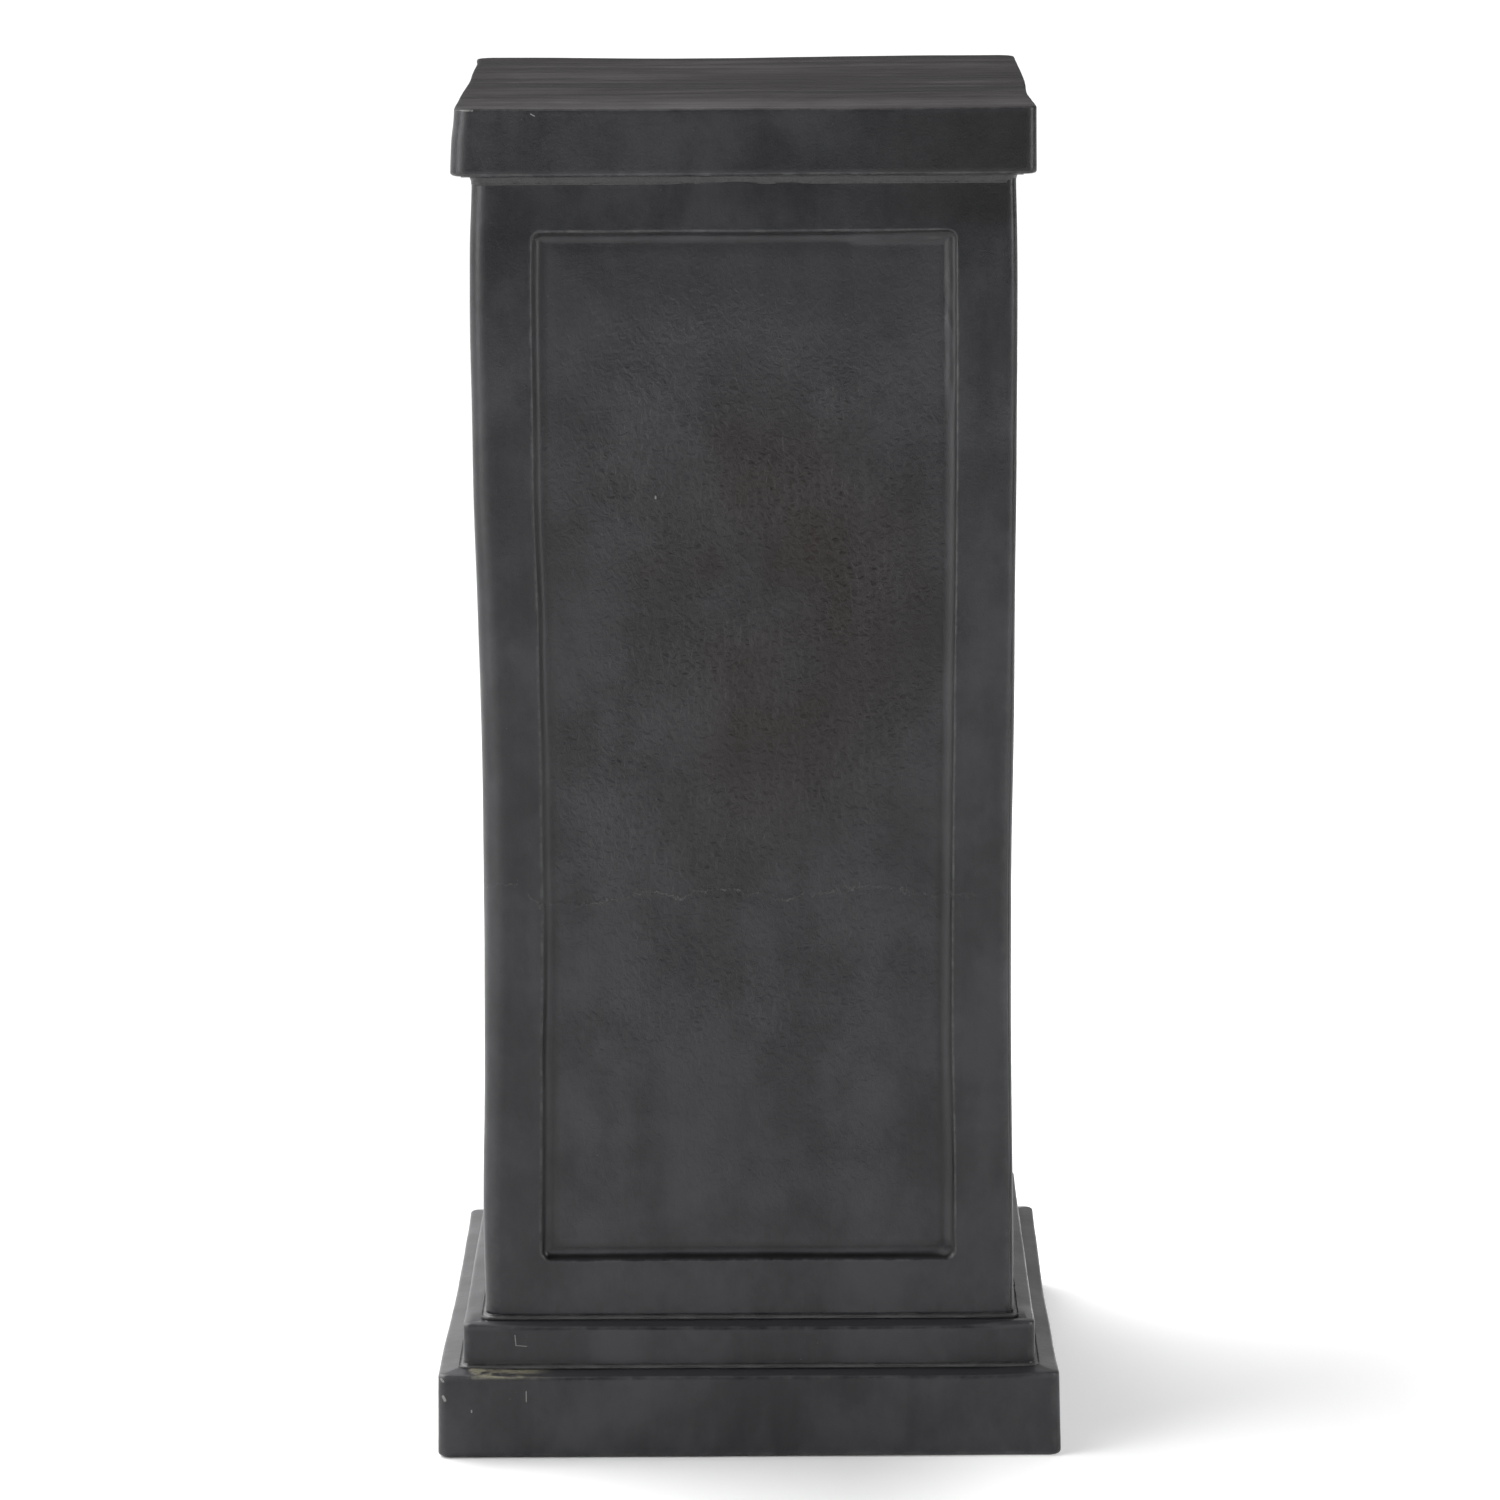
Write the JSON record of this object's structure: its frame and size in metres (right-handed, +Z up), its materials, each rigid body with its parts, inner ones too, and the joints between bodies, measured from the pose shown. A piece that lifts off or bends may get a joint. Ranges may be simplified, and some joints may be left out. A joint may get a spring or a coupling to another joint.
{
  "type": "display plinth",
  "caption": "Square stepped display plinth with an overhanging cap, a tall hollow shaft with a sunk panel in each face and a two-tier foot.",
  "frame": {"origin": "centre of the square footprint, on the face the plinth stands on", "axes": "+Z up along the shaft, +X to the right seen from the front, front panel towards -Y"},
  "size_m": [0.3528, 0.3528, 0.762],
  "materials": {
    "black_laminate": "satin",
    "bonding_paste": "satin",
    "glass_mat": "satin",
    "pine": "matte",
    "plywood": "matte",
    "zinc_steel": "satin",
    "pad_rubber": "matte"
  },
  "bodies": {
    "root": {"base_batten_front": "pine", "base_batten_left": "pine", "base_batten_rear": "pine", "base_batten_right": "pine", "base_screws": "zinc_steel", "block_screws": "zinc_steel", "cap_batten_front": "pine", "cap_batten_left": "pine", "cap_batten_rear": "pine", "cap_batten_right": "pine", "cap_bead": "bonding_paste", "cap_screws": "zinc_steel", "cap_shell": "black_laminate", "corner_block_front_left": "pine", "corner_block_front_right": "pine", "corner_block_rear_left": "pine", "corner_block_rear_right": "pine", "deck_board": "plywood", "foot_batten_front": "pine", "foot_batten_left": "pine", "foot_batten_rear": "pine", "foot_batten_right": "pine", "foot_pad_front_left": "pad_rubber", "foot_pad_front_right": "pad_rubber", "foot_pad_rear_left": "pad_rubber", "foot_pad_rear_right": "pad_rubber", "head_batten_front": "pine", "head_batten_left": "pine", "head_batten_rear": "pine", "head_batten_right": "pine", "mat_band_front": "glass_mat", "mat_band_left": "glass_mat", "mat_band_rear": "glass_mat", "mat_band_right": "glass_mat", "pad_screws": "zinc_steel", "plinth_shell": "black_laminate", "seam_tape_front_right": "glass_mat", "seam_tape_rear_left": "glass_mat", "shaft_bead": "bonding_paste", "shaft_screws": "zinc_steel", "shaft_shell_front_left": "black_laminate", "shaft_shell_rear_right": "black_laminate", "soffit_ring": "black_laminate", "step_batten_front": "pine", "step_batten_left": "pine", "step_batten_rear": "pine", "step_batten_right": "pine", "step_bead": "bonding_paste", "step_shell": "black_laminate"}
  },
  "joints": []
}
